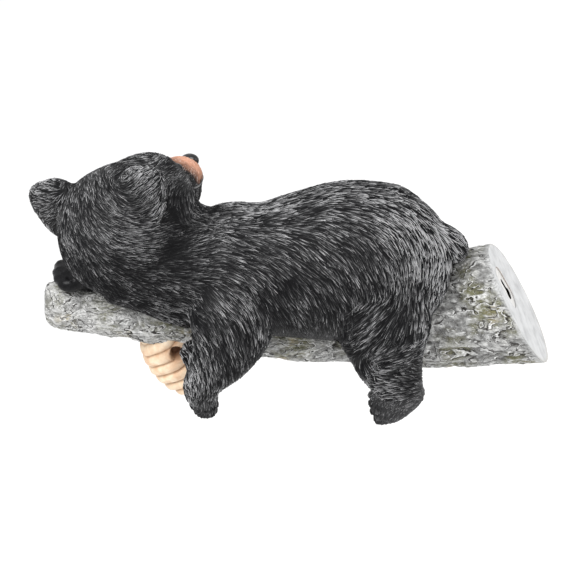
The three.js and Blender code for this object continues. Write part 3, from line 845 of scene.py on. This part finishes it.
# %% Hive
HIVE_ROWS, HIVE_SIDES, COILS = 150, 120, 8
HIVE_HEIGHT, HIVE_ALONG, HIVE_ASIDE = 76, 272, 5
WIDEST = 0.54  # the share of its height, from below
HOLE_DROP, HOLE_RADIUS = 24, 5.6
down = (np.arange(HIVE_ROWS) + 0.5) / HIVE_ROWS
turn = np.arange(HIVE_SIDES) * 2 * np.pi / HIVE_SIDES
closing = dome(down / WIDEST)
shoulder = np.sqrt(1 - (np.maximum(down - WIDEST, 0) / 0.48) ** 2)
phase = (COILS * down[:, None] + 0.5 * np.cos(turn) + 0.12 * np.sin(2 * turn + 1)
         + 0.08 * np.sin(5 * turn))
bead = np.abs(np.sin(np.pi * phase))
radius = (24.64 * closing * shoulder)[:, None] + 3.36 * bead ** 0.6
strands = noise(51, phase * 5, turn / (2 * np.pi) * 22 + 0 * phase, period=22) - 0.5
radius = radius + 0.5 * strands
drop = HIVE_HEIGHT * (down - 1)[:, None] + 0 * turn
place = np.stack([radius * np.cos(turn), radius * np.sin(turn), drop], -1)
way_in = np.radians(90 + 10)
aim = np.array([np.cos(way_in), np.sin(way_in), 0])
from_axis = place + np.array([0, 0, HOLE_DROP])
near_side = from_axis @ aim > 0
sideways = np.linalg.norm(from_axis - (from_axis @ aim)[..., None] * aim, axis=-1)
in_hole = np.clip((HOLE_RADIUS - sideways) / 2.2, 0, 1) * near_side
lip_swell = np.exp(-((sideways - 6.6) / 1.2) ** 2) * near_side
place = place + aim * (0.9 * lip_swell - 7 * in_hole)[..., None]
hive_at = np.array([HIVE_ALONG, -HIVE_ASIDE, float(branch_middle(HIVE_ALONG))])
hung = place.reshape(-1, 3) @ BRANCH_TO_ROW + hive_at  # turned back, so that it hangs plumb
rings = to_row(hung).reshape(place.shape)
poles = to_row(np.array([[0, 0, -HIVE_HEIGHT], [0, 0, 0]]) @ BRANCH_TO_ROW + hive_at)
points, faces = closed_grid(rings, *poles)
crease = np.clip(1 - bead / 0.42, 0, 1)
hive = make("hive", [(points, faces)], {
    "crease": np.append(crease.ravel(), [0, 0]),
    "hole": np.append(in_hole.ravel(), [0, 0]),
    "shade": np.append((np.exp(-(sideways / 9.5) ** 2) * near_side).ravel(), [0, 0]),
})

# %% [markdown]
# ## Nose, mouth and lids

# %% Face details
def cord(path, radius):
    """A thin round line on a path, thinning to both ends."""
    stations = [[*p, radius, radius] for p in path]
    return carried(stations, level=CROWN, rings=40, sides=10)


nose_points, nose_faces = egg(NOSE_AT, [1.7, 3.0, 1.95], HEAD_AXES, 64, 40)
local = (nose_points - NOSE_AT) @ HEAD_AXES.T
for nostril in (-1, 1):
    gap = np.linalg.norm(local - np.array([1.5, 1.1 * nostril, -0.4]), axis=1)
    nose_points = nose_points - np.exp(-(gap / 0.75) ** 2)[:, None] * FACE * 0.9
nose = make("nose", [(cub_to_row(nose_points), nose_faces)])
lines = [[on_head(31.2, 0, -0.2), on_head(31, 0, -1.6), on_head(29.6, 0, -3.2)]]
lines += [[on_head(29.8, 0, -3.2), on_head(27.2, 3.6 * s, -3.6), on_head(22.4, 5.4 * s, -3.3),
           on_head(18.6, 7.2 * s, -2.1)] for s in (1, -1)]
lines += [[on_head(18.4, 4.9 * s, 4.1), on_head(18.4, 7.0 * s, 3.5), on_head(16.6, 9.3 * s, 4.2)]
          for s in (1, -1)]


def laid(path):
    """A path's points moved on to the skin."""
    fine_path = along(np.array(path), np.linspace(0, 1, 9))
    at, normal = on_skin(cub_to_row(fine_path))
    return row_to_cub(at + normal * 0.15)


eyes = np.array([on_head(18.4, s * 7.0, 4.7) for s in (-1, 1)])
eyes_at, eyes_out = on_skin(cub_to_row(eyes))
lids = []
for at, out in zip(row_to_cub(eyes_at), eyes_out @ BRANCH_TO_ROW):
    level = unit(np.cross(CROWN, out))
    lids.append(egg(at - 0.1 * out, [0.75, 2.2, 1.15], [out, level, np.cross(out, level)]))
mouth_and_lids = make("mouth_and_lids", [
    (cub_to_row(points), faces) for points, faces in (cord(laid(path), 0.28) for path in lines)]
    + [(cub_to_row(points), faces) for points, faces in lids])

# %% [markdown]
# ## Paint

# %% Nodes
def material(name, roughness, coat=0.0, metallic=0.0, specular=0.5):
    made = bpy.data.materials.new(name)
    made.use_nodes = True
    shader = made.node_tree.nodes["Principled BSDF"]
    shader.inputs["Roughness"].default_value = roughness
    shader.inputs["Coat Weight"].default_value = coat
    shader.inputs["Metallic"].default_value = metallic
    shader.inputs["Specular IOR Level"].default_value = specular
    return made, made.node_tree, shader


def add(tree, kind, settings=None, **inputs):
    """A node with its properties set, and each named input set or linked."""
    node = tree.nodes.new(kind)
    for key, value in (settings or {}).items():
        setattr(node, key, value)
    for key, value in inputs.items():
        socket = node.inputs[int(key[1:])] if key[0] == "i" and key[1:].isdigit() \
            else node.inputs[key.replace("_", " ")]
        if isinstance(value, bpy.types.NodeSocket):
            tree.links.new(value, socket)
        else:
            socket.default_value = value
    return node


def attribute(tree, name):
    return add(tree, "ShaderNodeAttribute", {"attribute_name": name}).outputs["Fac"]


def maths(tree, operation, a, b=0.5, c=0.0):
    return add(tree, "ShaderNodeMath", {"operation": operation}, i0=a, i1=b, i2=c).outputs[0]


def times(tree, a, b):
    return maths(tree, "MULTIPLY", a, b)


def times_plus(tree, a, b, c):
    return maths(tree, "MULTIPLY_ADD", a, b, c)


def ramp(tree, factor, *stops):
    """A colour ramp through (place, colour) stops."""
    node = add(tree, "ShaderNodeValToRGB", i0=factor)
    elements = node.color_ramp.elements
    while len(elements) < len(stops):
        elements.new(0.5)
    for element, (place, colour) in zip(elements, stops):
        element.position = place
        element.color = (*colour, 1)
    return node.outputs["Color"]


def mix(tree, factor, a, b, blend="MIX"):
    node = add(tree, "ShaderNodeMix", {"data_type": "RGBA", "blend_type": blend})
    for index, value in ((0, factor), (6, a), (7, b)):
        if isinstance(value, bpy.types.NodeSocket):
            tree.links.new(value, node.inputs[index])
        else:
            node.inputs[index].default_value = value if index == 0 else (*value, 1)
    return node.outputs[2]


def here(tree):
    """The place on the object, in metres."""
    return add(tree, "ShaderNodeTexCoord").outputs["Object"]


def ranged(tree, value, low, high, first=0.0, last=1.0):
    """A number that runs from first to last while the value runs from low to high."""
    return add(tree, "ShaderNodeMapRange", Value=value, i1=low, i2=high, i3=first,
               i4=last).outputs["Result"]


def noise_of(tree, scale, detail=3.0, rough=0.55):
    return add(tree, "ShaderNodeTexNoise", Vector=here(tree), Scale=scale, Detail=detail,
               Roughness=rough).outputs["Fac"]


def bump(tree, shader, height, strength, distance):
    node = add(tree, "ShaderNodeBump", Height=height, Strength=strength, Distance=distance)
    tree.links.new(node.outputs["Normal"], shader.inputs["Normal"])


def colour(tree, shader, socket):
    tree.links.new(socket, shader.inputs["Base Color"])


def group(name, inputs, output, kind):
    """A node group with number inputs and one output: its tree, its inputs, its output."""
    made = bpy.data.node_groups.new(name, "ShaderNodeTree")
    for label, value in inputs.items():
        made.interface.new_socket(label, in_out="INPUT",
                                  socket_type="NodeSocketFloat").default_value = value
    made.interface.new_socket(output, in_out="OUTPUT", socket_type=kind)
    return made, made.nodes.new("NodeGroupInput").outputs, made.nodes.new("NodeGroupOutput").inputs


# %% Effects that several paints share
silvering, given, wanted = group("silvering", {"Silver": 0.0}, "Color", "NodeSocketColor")
grain = maths(silvering, "SUBTRACT", noise_of(silvering, 900, 2), 0.5)
brushed = maths(silvering, "MULTIPLY_ADD", grain, 0.25, given["Silver"])
silvering.links.new(
    ramp(silvering, brushed, (0.0, (0.003, 0.003, 0.0035)), (0.28, (0.012, 0.012, 0.013)),
         (0.55, (0.08, 0.08, 0.082)), (0.95, (0.62, 0.62, 0.63))), wanted["Color"])

fine_grain, given, wanted = group(
    "fine_grain", {"Scale": 1400.0, "Strength": 0.2, "Distance": 0.0004}, "Normal",
    "NodeSocketVector")
pits = add(fine_grain, "ShaderNodeTexNoise", Scale=given["Scale"], Detail=2.0,
           Vector=here(fine_grain)).outputs["Fac"]
pitted = add(fine_grain, "ShaderNodeBump", Height=pits, Strength=given["Strength"],
             Distance=given["Distance"])
fine_grain.links.new(pitted.outputs["Normal"], wanted["Normal"])


def silvered(tree):
    """Black with silver on the ridges, where painted light and shade are mixed in, broken by a
    fine grain.
    """
    return add(tree, "ShaderNodeGroup", {"node_tree": silvering},
               Silver=attribute(tree, "silver")).outputs["Color"]


def grained(tree, shader, scale=1400.0, strength=0.2, distance=0.0004):
    """Fine pits in the paint."""
    node = add(tree, "ShaderNodeGroup", {"node_tree": fine_grain}, Scale=scale,
               Strength=strength, Distance=distance)
    tree.links.new(node.outputs["Normal"], shader.inputs["Normal"])


# %% Fur
fur, tree, shader = material("fur_paint", 0.42, specular=0.06)
colour(tree, shader, silvered(tree))
grained(tree, shader)

ground, tree, shader = material("fur_ground_paint", 0.5, specular=0.12)
streak = noise_of(tree, 500)
base = ramp(tree, streak, (0.3, (0.004, 0.004, 0.0045)), (0.75, (0.012, 0.012, 0.013)))
base = mix(tree, attribute(tree, "worn"), base, (0.026, 0.026, 0.027))
colour(tree, shader, mix(tree, attribute(tree, "warm"), base, (0.62, 0.32, 0.21)))
at = here(tree)
paw_centre = cub_to_row(np.array([96, 1, 11.0])) * MM
gap = add(tree, "ShaderNodeVectorMath", {"operation": "DISTANCE"}, i0=at,
          i1=paw_centre.tolist()).outputs["Value"]
shine = ranged(tree, gap, 0.024, 0.034, 0.2, 0.55)
tree.links.new(shine, shader.inputs["Roughness"])
bump(tree, shader, streak, 0.3, 0.0006)

muzzle, tree, shader = material("muzzle_paint", 0.5, specular=0.2)
salmon = ramp(tree, attribute(tree, "silver"), (0.0, (0.5, 0.24, 0.155)),
              (0.3, (0.66, 0.36, 0.25)), (1.0, (0.86, 0.62, 0.5)))
salmon = mix(tree, noise_of(tree, 240), salmon, (0.6, 0.3, 0.2))
colour(tree, shader, mix(tree, attribute(tree, "warm"), silvered(tree), salmon))
grained(tree, shader)

black, tree, shader = material("nose_paint", 0.28, coat=0.3, specular=0.3)
colour(tree, shader, ramp(tree, noise_of(tree, 300), (0.3, (0.006, 0.006, 0.007)),
                           (0.8, (0.02, 0.02, 0.022))))
grained(tree, shader, 1600.0, 0.25)

# %% Bark
def flaked(tree, where, scale):
    """The way in from the edge of each plate of a warped noise: the fraction of its value times
    the number of plates, which is 9."""
    warp = add(tree, "ShaderNodeTexNoise", Vector=where, Scale=scale * 2.2, Detail=3.0)
    pushed = mix(tree, 1.0, warp.outputs["Color"], (0.02, 0.02, 0.02), "MULTIPLY")
    moved = add(tree, "ShaderNodeVectorMath", {"operation": "ADD"}, i0=where, i1=pushed)
    field = add(tree, "ShaderNodeTexNoise", Vector=moved.outputs[0], Scale=scale,
                Detail=2.0).outputs["Fac"]
    return maths(tree, "FRACT", maths(tree, "MULTIPLY", field, 9.0))


bark_paint, tree, shader = material("bark_paint", 0.75, specular=0.3)
lying = add(tree, "ShaderNodeMapping", {"vector_type": "TEXTURE"},
            i0=here(tree),
            i2=(0.0, -RISE, 0.0), i3=(1.9, 1.0, 1.0)).outputs[0]
standing_out = attribute(tree, "standing")
broadly = attribute(tree, "broad")
mottle = noise_of(tree, 55, 6, 0.7)
speck = noise_of(tree, 520, 3)
fine_in = flaked(tree, lying, 95.0)
wide_in = flaked(tree, lying, 42.0)
# Raised bark lighter and sunken bark darker: painted light and shade. On the cut end these two
# carry the wood's grain.
value = times_plus(tree, standing_out, 0.42, 0.61)
value = times_plus(tree, broadly, 0.06, value)
value = times_plus(tree, maths(tree, "SUBTRACT", mottle, 0.5), 0.5, value)
value = times_plus(tree, maths(tree, "SUBTRACT", speck, 0.5), 0.4, value)
value = times_plus(tree, attribute(tree, "thin"), 0.26, value)
greys = ramp(tree, value, (0.0, (0.02, 0.018, 0.016)), (0.24, (0.10, 0.096, 0.09)),
             (0.42, (0.215, 0.214, 0.209)), (0.62, (0.31, 0.31, 0.305)),
             (0.92, (0.62, 0.62, 0.61)))
moss_where = times(tree, maths(tree, "SUBTRACT", noise_of(tree, 40, 4), 0.45), 9.0)
moss_low = times_plus(tree, value, -1.1, 1.2)
moss = add(tree, "ShaderNodeClamp", Value=times(tree, moss_where, moss_low))
mossy = mix(tree, times(tree, moss.outputs[0], 0.8), greys, (0.165, 0.162, 0.075))
ochre = ranged(tree, noise_of(tree, 29, 3), 0.64, 0.7)
mossy = mix(tree, times(tree, ochre, 0.5), mossy, (0.34, 0.27, 0.12))
broken = ranged(tree, noise_of(tree, 120, 2), 0.36, 0.5)
peeling = mossy
for inward, share in ((fine_in, 0.5), (wide_in, 1.0)):
    white = ramp(tree, inward, (0.03, (0, 0, 0)), (0.07, (1, 1, 1)), (0.12, (1, 1, 1)),
                 (0.24, (0, 0, 0)))
    crack = ramp(tree, inward, (0.0, (1, 1, 1)), (0.05, (0, 0, 0)), (0.86, (0, 0, 0)),
                 (0.95, (1, 1, 1)))
    strength = times(tree, broken, share)
    peeling = mix(tree, times(tree, white, strength), peeling, (0.82, 0.82, 0.81))
    peeling = mix(tree, times(tree, crack, strength), peeling, (0.03, 0.027, 0.023))
by_face = times_plus(tree, maths(tree, "SUBTRACT", mottle, 0.5), 2.2,
                attribute(tree, "by_face"))
by_face = times(tree, ranged(tree, by_face, 0.35, 0.75), 0.8)
colour(tree, shader, mix(tree, by_face, peeling, (0.56, 0.565, 0.565)))
plates = ramp(tree, wide_in, (0.0, (0, 0, 0)), (0.1, (1, 1, 1)), (0.9, (0.3, 0.3, 0.3)),
              (1.0, (0, 0, 0)))
flakes = ramp(tree, fine_in, (0.0, (0, 0, 0)), (0.1, (1, 1, 1)), (1.0, (0, 0, 0)))
height = times_plus(tree, plates, 1.0, times(tree, speck, 0.6))
height = times_plus(tree, flakes, 0.6, height)
bump(tree, shader, height, 0.9, 0.0018)

# %% Wall face
face_paint, tree, shader = material("wall_face_paint", 0.6, specular=0.3)
clean = ramp(tree, noise_of(tree, 70, 5, 0.65), (0.32, (0.47, 0.475, 0.48)),
             (0.5, (0.60, 0.605, 0.61)), (0.7, (0.66, 0.665, 0.67)))
rubbed = mix(tree, attribute(tree, "edge"), clean, (0.5, 0.49, 0.46))
# A thin brown line round the hanger's seat; its darkening on the upper, far side is painted shade.
seated = mix(tree, times(tree, attribute(tree, "seat"), 0.6), rubbed,
             (0.3, 0.17, 0.08))
# Near black deep in the recess and the pocket: painted shade.
colour(tree, shader, mix(tree, attribute(tree, "deep"), seated, (0.008, 0.007, 0.006)))
grained(tree, shader, 420.0, 0.3, 0.0006)

# %% Hive
hive_paint, tree, shader = material("hive_paint", 0.55, specular=0.3)
streak = noise_of(tree, 130, 4)
cream = ramp(tree, streak, (0.3, (0.72, 0.47, 0.30)), (0.6, (0.86, 0.69, 0.50)),
             (0.75, (0.9, 0.78, 0.62)))
creased = mix(tree, times(tree, attribute(tree, "crease"), 0.7), cream,
              (0.42, 0.23, 0.12))
# Painted shade: brown round the way in, and dark inside it.
browned = mix(tree, times(tree, attribute(tree, "shade"), 0.8), creased,
              (0.36, 0.19, 0.105))
colour(tree, shader, mix(tree, attribute(tree, "hole"), browned, (0.13, 0.06, 0.032)))
grained(tree, shader, 600.0, 0.3, 0.0005)

# %% Hanger
zinc, tree, shader = material("zinc", 0.36, metallic=1.0)
stretched = add(tree, "ShaderNodeMapping", i0=here(tree),
                i3=(1, 60, 1600))
brush = add(tree, "ShaderNodeTexNoise", Vector=stretched.outputs[0], Scale=1.0,
            Detail=3.0).outputs["Fac"]
bright = ramp(tree, brush, (0.3, (0.6, 0.59, 0.57)), (0.7, (0.84, 0.83, 0.81)))
# The keyhole's walls, more than 0.7 mm in, are painted near black: painted shade.
depth = add(tree, "ShaderNodeSeparateXYZ",
            Vector=here(tree)).outputs["X"]
inner = ranged(tree, depth, 0.0007, 0.0011)
colour(tree, shader, mix(tree, inner, bright, (0.01, 0.01, 0.01)))
bump(tree, shader, brush, 0.15, 0.0002)
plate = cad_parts["keyhole_hanger"]
plate.data.materials.clear()
plate.data.materials.append(zinc)

# %% Paint on the pieces
dress(skin_piece, ground)
for piece in coat_pieces:
    dress(piece, fur)
dress(muzzle_coat, muzzle)
dress(nose, black)
dress(mouth_and_lids, black)
dress(bark, bark_paint)
dress(wall_face, face_paint)
dress(hive, hive_paint)

# %% [markdown]
# ## Floor and light
#
# The statue hangs on a wall that isn't shown, over a pale floor, in soft light.

# %% Stage
floor_mesh = bpy.data.meshes.new("floor")
floor_mesh.from_pydata([(-9, -9, 0), (9, -9, 0), (9, 9, 0), (-9, 9, 0)], [], [(0, 1, 2, 3)])
floor = placed("floor", floor_mesh)
floor.location.z = -0.42
pale, tree, shader = material("pale_floor", 0.9)
shader.inputs["Base Color"].default_value = (0.93, 0.93, 0.93, 1)
floor_mesh.materials.append(pale)

world = bpy.data.worlds.new("studio")
world.use_nodes = True
world.node_tree.nodes["Background"].inputs["Color"].default_value = (1, 1, 1, 1)
world.node_tree.nodes["Background"].inputs["Strength"].default_value = 0.92
bpy.context.scene.world = world


def softbox(name, place, aim, size, power):
    """A square lamp at a place, turned to face the aim."""
    lamp = bpy.data.lights.new(name, "AREA")
    lamp.size = size
    lamp.energy = power
    held = placed(name, lamp)
    out = unit(np.array(place, float) - aim)
    level = unit(np.cross([0, 0, 1], out))
    turned = np.column_stack([level, np.cross(out, level), out, place])
    held.matrix_world = Matrix([*turned.tolist(), [0, 0, 0, 1]])


middle = np.array([0.16, 0.0, 0.1])
softbox("key", (0.35, 0.75, 1.7), middle, 1.0, 26)
softbox("fill", (-1.3, 0.9, 0.6), middle, 1.2, 9)

bpy.context.scene.view_settings.view_transform = "Standard"
